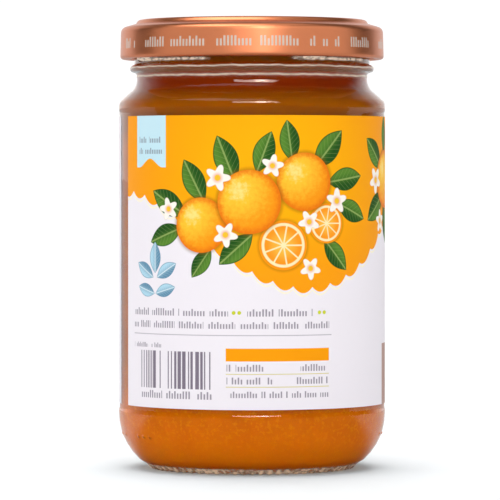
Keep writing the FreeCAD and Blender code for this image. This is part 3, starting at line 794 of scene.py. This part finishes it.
def draw_leaf(canvas, s, h, angle, half, tones=LEAF_TONES):
    """A pointed oval |v| < 1 - u^2 in tones (dark, light, vein), with a pale midrib and slanting side veins."""
    graph = canvas.graph
    dark, light, pale = tones
    local = graph.out("ShaderNodeMapping", {"vector_type": "TEXTURE"},
                      {"Vector": canvas.twice(), "Location": (s, h, 0.0), "Rotation": (0.0, 0.0, math.radians(angle)),
                       "Scale": (half, half * 0.5, 1.0)})
    u, v, _ = graph.parts(local)
    across = abs(v)
    edge = 1.0 - u * u - across
    vein = graph.smooth(((u - across * 0.45) * 4.5).fraction(), 0.86, 0.93)
    blade = graph.mix(dark, light, graph.smooth(v, -0.6, 0.7))
    blade = graph.mix(blade, pale, vein * 0.3)
    blade = graph.mix(blade, pale, graph.smooth(across, 0.10, 0.04) * 0.7)
    blade = graph.mix(blade, dark, graph.smooth(edge, 0.18, 0.04))
    canvas.lay(blade, graph.smooth(edge, 0.0, 0.06))


def draw_sprig_leaf(canvas, s, h, angle, half):
    draw_leaf(canvas, s, h, angle, half, SPRIG_TONES)


def draw_blossom(canvas, s, h, radius, turn):
    """Five round petals, r < R (0.78 + 0.22 cos 5 theta), flushed pink at the middle, with a yellow eye."""
    graph = canvas.graph
    x, y, distance = from_middle(graph, canvas.twice(), s, h)
    away = distance / radius
    lobe = 0.78 + ((y.arctan2(x) + math.radians(turn)) * 5.0).cosine() * 0.22
    inside = lobe - away
    petal = graph.mix((0.86, 0.45, 0.33), (0.95, 0.88, 0.80), graph.smooth(away, 0.12, 0.5))
    petal = graph.mix(petal, (0.62, 0.42, 0.32), graph.smooth(inside, 0.10, 0.0) * 0.8)
    petal = graph.mix(petal, (0.90, 0.52, 0.03), graph.smooth(away, 0.26, 0.18))
    canvas.lay(petal, graph.smooth(inside, 0.0, 0.05))


def draw_pennant(canvas, settings):
    """A pale blue pennant that hangs from the top edge, with a notched foot."""
    graph = canvas.graph
    s, h = canvas.once()
    notch = 60.4 + graph.smooth(abs(s + 29.0), 4.5, 0.0) * 2.2
    canvas.lay(settings.accent, graph.within(s, -34.6, -23.4, 0.05) * graph.smooth(h - notch, -0.05, 0.05))


def draw_words(canvas, settings, left, right, foot, tall):
    """A line of upright ticks in word-like groups, in place of any lettering."""
    graph = canvas.graph
    s, h = canvas.once()
    pitch = tall * 0.44
    cell = (s / pitch).floor()
    dice = graph.chance(cell + foot * 7.31)
    top = tall * 0.70 + dice.above(0.6) * (tall * 0.30)
    word = ((s / pitch + foot * 3.0) / 11.0).fraction().above(0.12)
    tick = graph.within((s / pitch).fraction(), 0.2, 0.72, 0.08) * dice.above(0.04) * word
    field = graph.within(s, left, right, 0.02) * graph.within(h - foot, 0.0, top, 0.05)
    canvas.lay(settings.ink, tick * field * 0.72)


def draw_panel(canvas, settings):
    """The plain panel: upright bars, a marigold bar, yellow rules, a dark rule, dots, and the front panel's band."""
    graph = canvas.graph
    s, h = canvas.once()
    bars = graph.chance((s / 0.34).floor() + 11.0).above(0.52)
    canvas.lay(settings.ink, bars * graph.within(s, -33.0, -10.2, 0.02) * graph.within(h, 5.0, 14.4, 0.03) * 0.85)
    for low, high, paint in ((12.1, 15.3, settings.field), (8.8, 9.0, settings.rule), (5.6, 5.8, settings.rule)):
        s, h = canvas.once()
        canvas.lay(paint, graph.within(s, -6.6, 20.4, 0.05) * graph.within(h, low, high, 0.05))
    s, h = canvas.once()
    canvas.lay(settings.ink, graph.within(s, -36.0, 21.2, 0.05) * graph.within(h, 18.45, 18.65, 0.05) * 0.55)
    for middle in (-4.6, -3.2, 17.6, 19.0):
        s, h = canvas.once()
        dot = graph.distance(graph.vector(s, h), (middle, 24.2, 0.0))
        canvas.lay(settings.lime, graph.smooth(dot, 0.55, 0.4))
    s, h = canvas.once()
    canvas.lay(settings.band, graph.smooth(s, 44.9, 45.1) * graph.smooth(s, 166.0, 165.8)
               * graph.smooth(h, 15.6, 15.5))


def label_material():
    """Print on coated paper: fields of colour, a garland of fruit, leaves and blossoms, and a plain panel below."""
    settings = bpy.context.scene.jam_jar
    graph = Graph(bpy.data.materials.new("printed_paper"))
    across, up, _ = graph.parts(graph.out("ShaderNodeUVMap", {"uv_map": "wrap"}))
    s = across * LABEL_WIDTH + LABEL_RADIUS * math.radians(LABEL_LEFT)
    canvas = Canvas(graph, s, up * LABEL_TALL, graph.out("ShaderNodeRGB"))
    canvas.colour.socket.default_value = (*settings.paper, 1.0)
    draw_field(canvas, settings)
    for draw, places in ((draw_leaf, LEAVES), (draw_sprig_leaf, SPRIG), (draw_slice, SLICES), (draw_fruit, FRUITS),
                         (draw_blossom, BLOSSOMS)):
        for place in places:
            draw(canvas, *place)
    draw_pennant(canvas, settings)
    draw_panel(canvas, settings)
    for line in TEXT_LINES:
        draw_words(canvas, settings, *line)
    s, h = canvas.once()
    margin = LABEL_WIDTH + LABEL_RADIUS * math.radians(LABEL_LEFT) - 5.0
    canvas.lay(settings.paper, graph.smooth(s, margin, margin + 0.2))

    fibre = graph.noise(graph.place(), 900.0, 3.0)
    return graph.finish(graph.principled(
        Base_Color=canvas.colour, Roughness=0.42 + fibre * 0.12, Specular_IOR_Level=0.06,
        Normal=graph.bump(fibre, 0.08, 0.00005)))


def build_label(material):
    """A closed loop round the paper's section, carried from one end of the label to the other and capped.

    Point (k, j) is the loop's point k at angle left + span * j / (columns - 1). The UV map wrap holds (share of the
    way round, share of the height).
    """
    rows = np.linspace(LABEL_HIGH, LABEL_LOW, LABEL_ROWS)
    outside = np.stack([np.full(rows.shape, LABEL_RADIUS), rows], axis=1)
    inside = np.stack([np.full(rows.shape, PANEL_RADIUS + PAPER_GAP), rows[::-1]], axis=1)
    loop = np.concatenate([outside, inside])
    share = np.linspace(0.0, 1.0, LABEL_COLUMNS)
    phi = np.radians(LABEL_LEFT + LABEL_SPAN * share)
    points = on_circle(loop[:, 0][:, None], np.broadcast_to(loop[:, 1][:, None], (len(loop), len(phi))), phi[None, :])
    count = len(phi)
    k = np.arange(len(loop))[:, None]
    following = (k + 1) % len(loop)
    j = np.arange(count - 1)[None, :]
    quads = np.stack([k * count + j, following * count + j, following * count + j + 1, k * count + j + 1], axis=-1)
    start_cap = (k[:, 0] * count)[::-1]
    end_cap = k[:, 0] * count + count - 1
    piece = add_mesh("paper_label", points, [quads.reshape(-1, 4), start_cap[None, :], end_cap[None, :]], material)
    uv = np.stack([np.broadcast_to(share[None, :], (len(loop), count)),
                   np.broadcast_to(((loop[:, 1] - LABEL_LOW) / LABEL_TALL)[:, None], (len(loop), count))], axis=-1)
    corners = np.empty(len(piece.data.loops), dtype=np.int32)
    piece.data.loops.foreach_get("vertex_index", corners)
    layer = piece.data.uv_layers.new(name="wrap")
    layer.data.foreach_set("uv", uv.reshape(-1, 2)[corners].astype(np.float32).ravel())
    piece.data.set_sharp_from_angle(angle=math.radians(40.0))
    return piece


# ---------------------------------------------------------------- settings, operators and panel
def colour_setting(name, description, default):
    return bpy.props.FloatVectorProperty(name=name, description=description, default=default, subtype="COLOR")


def length_setting(name, description, default):
    return bpy.props.FloatProperty(name=name, description=description, default=default, unit="LENGTH", precision=5)


class JamJarSettings(bpy.types.PropertyGroup):
    """What a user would change about the jar and its studio."""

    knurl_count: bpy.props.IntProperty(name="Knurls", description="Notches round the foot", default=70, min=0)
    knurl_depth: length_setting("Knurl depth", "Depth of a notch in the foot", 0.00035)
    unevenness: length_setting("Unevenness", "How far the bare glass is from true", 0.00004)
    glass_shine: bpy.props.FloatProperty(name="Glass shine", description="Specular level of the glass", default=0.13)
    jam_light: colour_setting("Jam", "Colour of the jam at the heel", (0.83, 0.205, 0.001))
    jam_shade: colour_setting("Jam shade", "Darker clouds in the jam", (0.76, 0.172, 0.001))
    # the next three colours are painted light and shade: lighter jam at the foot, darker jam above the label and
    # darker still in the neck
    jam_lit_foot: colour_setting("Jam at the foot", "Colour of the jam at the foot", (0.97, 0.245, 0.001))
    jam_shoulder_shade: colour_setting("Jam at the shoulder", "Jam above the label", (0.333, 0.0855, 0.001))
    jam_neck_shade: colour_setting("Jam in the neck", "Colour of the jam in the neck", (0.35, 0.037, 0.001))
    lid_colour: colour_setting("Lid", "Lacquer of the lid", (0.91, 0.30, 0.13))
    lid_print: colour_setting("Lid print", "Ticks round the skirt", (0.62, 0.54, 0.46))
    paper: colour_setting("Paper", "White of the label", (0.855, 0.805, 0.85))
    field: colour_setting("Field", "Marigold field of the label", (0.95, 0.335, 0.0015))
    field_light: colour_setting("Field glow", "Lighter middle of the field", (0.97, 0.43, 0.0015))
    field_low: colour_setting("Field foot", "Lower part of the field", (0.96, 0.33, 0.006))
    trim: colour_setting("Trim", "Thin line under the field's scallops", (0.95, 0.86, 0.62))
    ink: colour_setting("Ink", "Dark print on the plain panel", (0.10, 0.07, 0.12))
    rule: colour_setting("Rules", "Thin yellow lines on the plain panel", (0.66, 0.58, 0.20))
    lime: colour_setting("Lime", "Small dots between the lines of ticks", (0.55, 0.60, 0.02))
    accent: colour_setting("Accent", "Pale blue of the pennant", (0.55, 0.77, 0.85))
    band: colour_setting("Band", "Lower band of the front panel", (0.47, 0.30, 0.26))
    camera_distance: length_setting("Camera distance", "Jar's axis to the camera", 0.976)
    camera_height: length_setting("Camera height", "Floor to the camera", 0.0759)
    camera_aside: length_setting("Camera aside", "Camera to the left of the axis", 0.000515)
    camera_pitch: bpy.props.FloatProperty(name="Camera pitch", description="How far the camera looks down",
                                          default=math.radians(1.171), subtype="ANGLE")
    lens: bpy.props.FloatProperty(name="Lens", description="Focal length in millimetres", default=272.9)


class JarPiece:
    """What the operators of this panel share."""

    bl_options = {"REGISTER", "UNDO"}


class JAMJAR_OT_glass(JarPiece, bpy.types.Operator):
    """Turn the glass jar, with its thread, nubs and notched foot"""

    bl_idname = "jam_jar.glass"
    bl_label = "Glass"

    def execute(self, context):
        inside = inner_glass(RIM_Z - RIM_ROUND).points()[::-1]
        rim = Outline(MOUTH_RADIUS, RIM_Z - RIM_ROUND, UP).bend(RIM_ROUND, -90.0).points()
        profile = np.concatenate([inside, rim[1:], outer_glass().points()])
        piece = turned_surface("glass_jar", profile, GLASS_POINTS, glass_material(), glass_relief)
        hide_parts("jar")
        return {"FINISHED"}


class JAMJAR_OT_jam(JarPiece, bpy.types.Operator):
    """Fill the glass with jam that reaches just into the wall"""

    bl_idname = "jam_jar.jam"
    bl_label = "Jam"

    def execute(self, context):
        wall = inner_glass(JAM_HIGH[2], JAM_REACH).points()
        dip = JAM_HIGH[2] - JAM_DIP
        middle = np.array([[0.0, dip], [14.0, dip], [24.0, dip + 0.1]])
        piece = turned_surface("jam_fill", np.concatenate([middle, wall]), JAM_POINTS, jam_material())
        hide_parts("jam")
        return {"FINISHED"}


class JAMJAR_OT_lid(JarPiece, bpy.types.Operator):
    """Press the lid, with its button, curl and lugs"""

    bl_idname = "jam_jar.lid"
    bl_label = "Lid"

    def execute(self, context):
        piece = turned_surface("twist_lid", lid_profile(), LID_POINTS, lid_material(), lid_relief)
        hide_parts("lid")
        return {"FINISHED"}


class JAMJAR_OT_label(JarPiece, bpy.types.Operator):
    """Wrap the printed label round the glass"""

    bl_idname = "jam_jar.label"
    bl_label = "Label"

    def execute(self, context):
        piece = build_label(label_material())
        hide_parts("label")
        return {"FINISHED"}


class JAMJAR_OT_stage(JarPiece, bpy.types.Operator):
    """Set up the white table, the studio light and the camera"""

    bl_idname = "jam_jar.stage"
    bl_label = "Stage"

    def execute(self, context):
        settings = context.scene.jam_jar
        add_table()
        add_studio_light(context.scene)
        add_camera(context.scene, settings)
        context.scene.view_settings.view_transform = "Standard"
        return {"FINISHED"}


# half the table's width in metres; then angles round the jar and above it, each from one edge to the other
TABLE = 40.0
SOFTBOX_ROUND, SOFTBOX_LIFT, SOFTBOX_CORE = (-17.0, 25.0), (20.0, 38.0), (4.0, 15.0)
OVERHEAD_ROUND, OVERHEAD_LIFT = (-95.0, 22.0), (48.0, 74.0)
SENSOR_WIDTH = 36.0


def add_table():
    """A wide white table. Glosses mirror it grey, and polished faces as black cloth, less so behind the jar."""
    graph = Graph(bpy.data.materials.new("white_table"))
    glossy, polished = graph.mirrored()
    front = polished * (graph.smooth(graph.parts(graph.place())[1], 0.016, -0.012) * 0.62 + 0.38)
    white = graph.principled(Base_Color=(0.89, 0.92, 0.935), Roughness=0.8, Specular_IOR_Level=0.05,
                             Emission_Color=(0.94, 0.97, 0.985), Emission_Strength=0.02)
    cloth = graph.principled(Base_Color=graph.mix((0.42, 0.42, 0.42), (0.05, 0.05, 0.05), polished), Roughness=0.9)
    mesh = bpy.data.meshes.new("white_table")
    corners = [(-TABLE, -TABLE, 0.0), (TABLE, -TABLE, 0.0), (TABLE, TABLE, 0.0), (-TABLE, TABLE, 0.0)]
    mesh.from_pydata(corners, [], [(0, 1, 2, 3)])
    mesh.materials.append(graph.finish(graph.blend(white, cloth, glossy + front)))
    table = bpy.data.objects.new("white_table", mesh)
    bpy.context.scene.collection.objects.link(table)


def add_studio_light(scene):
    """White paper behind the jar, a softbox high in front, and a paler one overhead to the left.

    Glossy faces see a grey room between two dark gaps, and polished ones the paper's edges. Both see the softbox
    brighter than it lights the jar.
    """
    world = bpy.data.worlds.new("white_studio")
    scene.world = world
    graph = Graph(world)
    x, y, z = graph.parts(graph.out("ShaderNodeTexCoord"))
    side = x.arctan2(y * -1.0) * (180.0 / math.pi)
    lift = z.arcsine() * (180.0 / math.pi)
    glossy, polished = graph.mirrored()
    through = graph.out("ShaderNodeLightPath", output="Is Transmission Ray")
    seen = graph.out("ShaderNodeLightPath", output="Is Camera Ray")
    paper = graph.smooth(side, -120.0, -138.0) + graph.smooth(side, 130.0, 156.0)
    overhead = graph.within(side, *OVERHEAD_ROUND, 14.0) * graph.within(lift, *OVERHEAD_LIFT, 4.0)
    softbox = graph.within(side, *SOFTBOX_ROUND, 2.0) * graph.within(lift, *SOFTBOX_LIFT, 2.0)
    core = graph.within(side, *SOFTBOX_CORE, 3.0)
    top = graph.smooth(lift, 55.0, 68.0)
    low = graph.smooth(lift, 32.0, 12.0) * (1.25 - graph.smooth(side, 50.0, 100.0) * 0.6)
    fill = overhead * 0.8 + softbox * 2.8 + top * 2.5 + low
    light = 0.05 + paper * graph.smooth(lift, 75.0, 45.0) * (1.45 - through * 0.35) + fill * (1.0 + through * 1.2)
    screens = graph.smooth(side, -118.0, -132.0) + graph.smooth(side, 122.0, 146.0)
    room = graph.smooth(side, -102.0, -86.0) * graph.smooth(side, 106.0, 90.0) * graph.smooth(lift, 60.0, 40.0)
    room = room * (0.6 + graph.smooth(side, 20.0, 50.0) * 0.08)
    key = graph.within(side, *SOFTBOX_ROUND, 6.0) * 0.65 + core * 1.3
    key = key * graph.within(lift, -10.0, 38.0, 3.0) + core * graph.within(lift, 19.0, 38.0, 3.0) * 5.0
    mirror = 0.04 + screens * graph.smooth(lift, 45.0, 20.0) * 0.72 + overhead * 2.7 + room + key + top * 0.55
    edges = graph.smooth(side, -95.0, -150.0) * 1.15 + graph.smooth(side, 112.0, 150.0) * 1.1
    glint = 0.02 + edges * graph.smooth(lift, 46.0, 10.0) + overhead * 1.2 + softbox * (9.0 + core * 18.0)
    strength = light * (1.0 - glossy - polished) + mirror * glossy + glint * polished
    strength = strength * (1.0 - seen) + seen * 1.05
    tint = graph.mix((1.0, 1.0, 1.0), (1.0, 0.84, 0.66), softbox * polished)
    glow = graph.node("ShaderNodeBackground", None, {"Color": tint, "Strength": strength})
    graph.node("ShaderNodeOutputWorld", None, {"Surface": Wire(graph, glow.outputs[0])})


def add_camera(scene, settings):
    """A long lens in front of the jar, a little over its middle."""
    camera = bpy.data.objects.new("camera", bpy.data.cameras.new("camera"))
    camera.data.lens = settings.lens
    camera.data.sensor_width = SENSOR_WIDTH
    camera.location = (-settings.camera_aside, -settings.camera_distance, settings.camera_height)
    camera.rotation_euler = (math.pi / 2.0 - settings.camera_pitch, 0.0, 0.0)
    scene.collection.objects.link(camera)
    scene.camera = camera


class JAMJAR_PT_pieces(bpy.types.Panel):
    """Lists the pieces of the jar in the sidebar."""

    bl_idname = "JAMJAR_PT_pieces"
    bl_label = "Jam Jar"
    bl_space_type = "VIEW_3D"
    bl_region_type = "UI"
    bl_category = "Jam Jar"

    def draw(self, context):
        for operator in OPERATORS:
            self.layout.operator(operator.bl_idname)
        for name in JamJarSettings.__annotations__:
            self.layout.prop(context.scene.jam_jar, name)


OPERATORS = (JAMJAR_OT_glass, JAMJAR_OT_jam, JAMJAR_OT_lid, JAMJAR_OT_label, JAMJAR_OT_stage)
CLASSES = (JamJarSettings,) + OPERATORS + (JAMJAR_PT_pieces,)


def register():
    for entry in CLASSES:
        bpy.utils.register_class(entry)
    bpy.types.Scene.jam_jar = bpy.props.PointerProperty(type=JamJarSettings)


def unregister():
    del bpy.types.Scene.jam_jar
    for entry in reversed(CLASSES):
        bpy.utils.unregister_class(entry)


def main():
    register()
    bpy.ops.jam_jar.glass()
    bpy.ops.jam_jar.jam()
    bpy.ops.jam_jar.lid()
    bpy.ops.jam_jar.label()
    bpy.ops.jam_jar.stage()


if __name__ == "__main__":
    main()
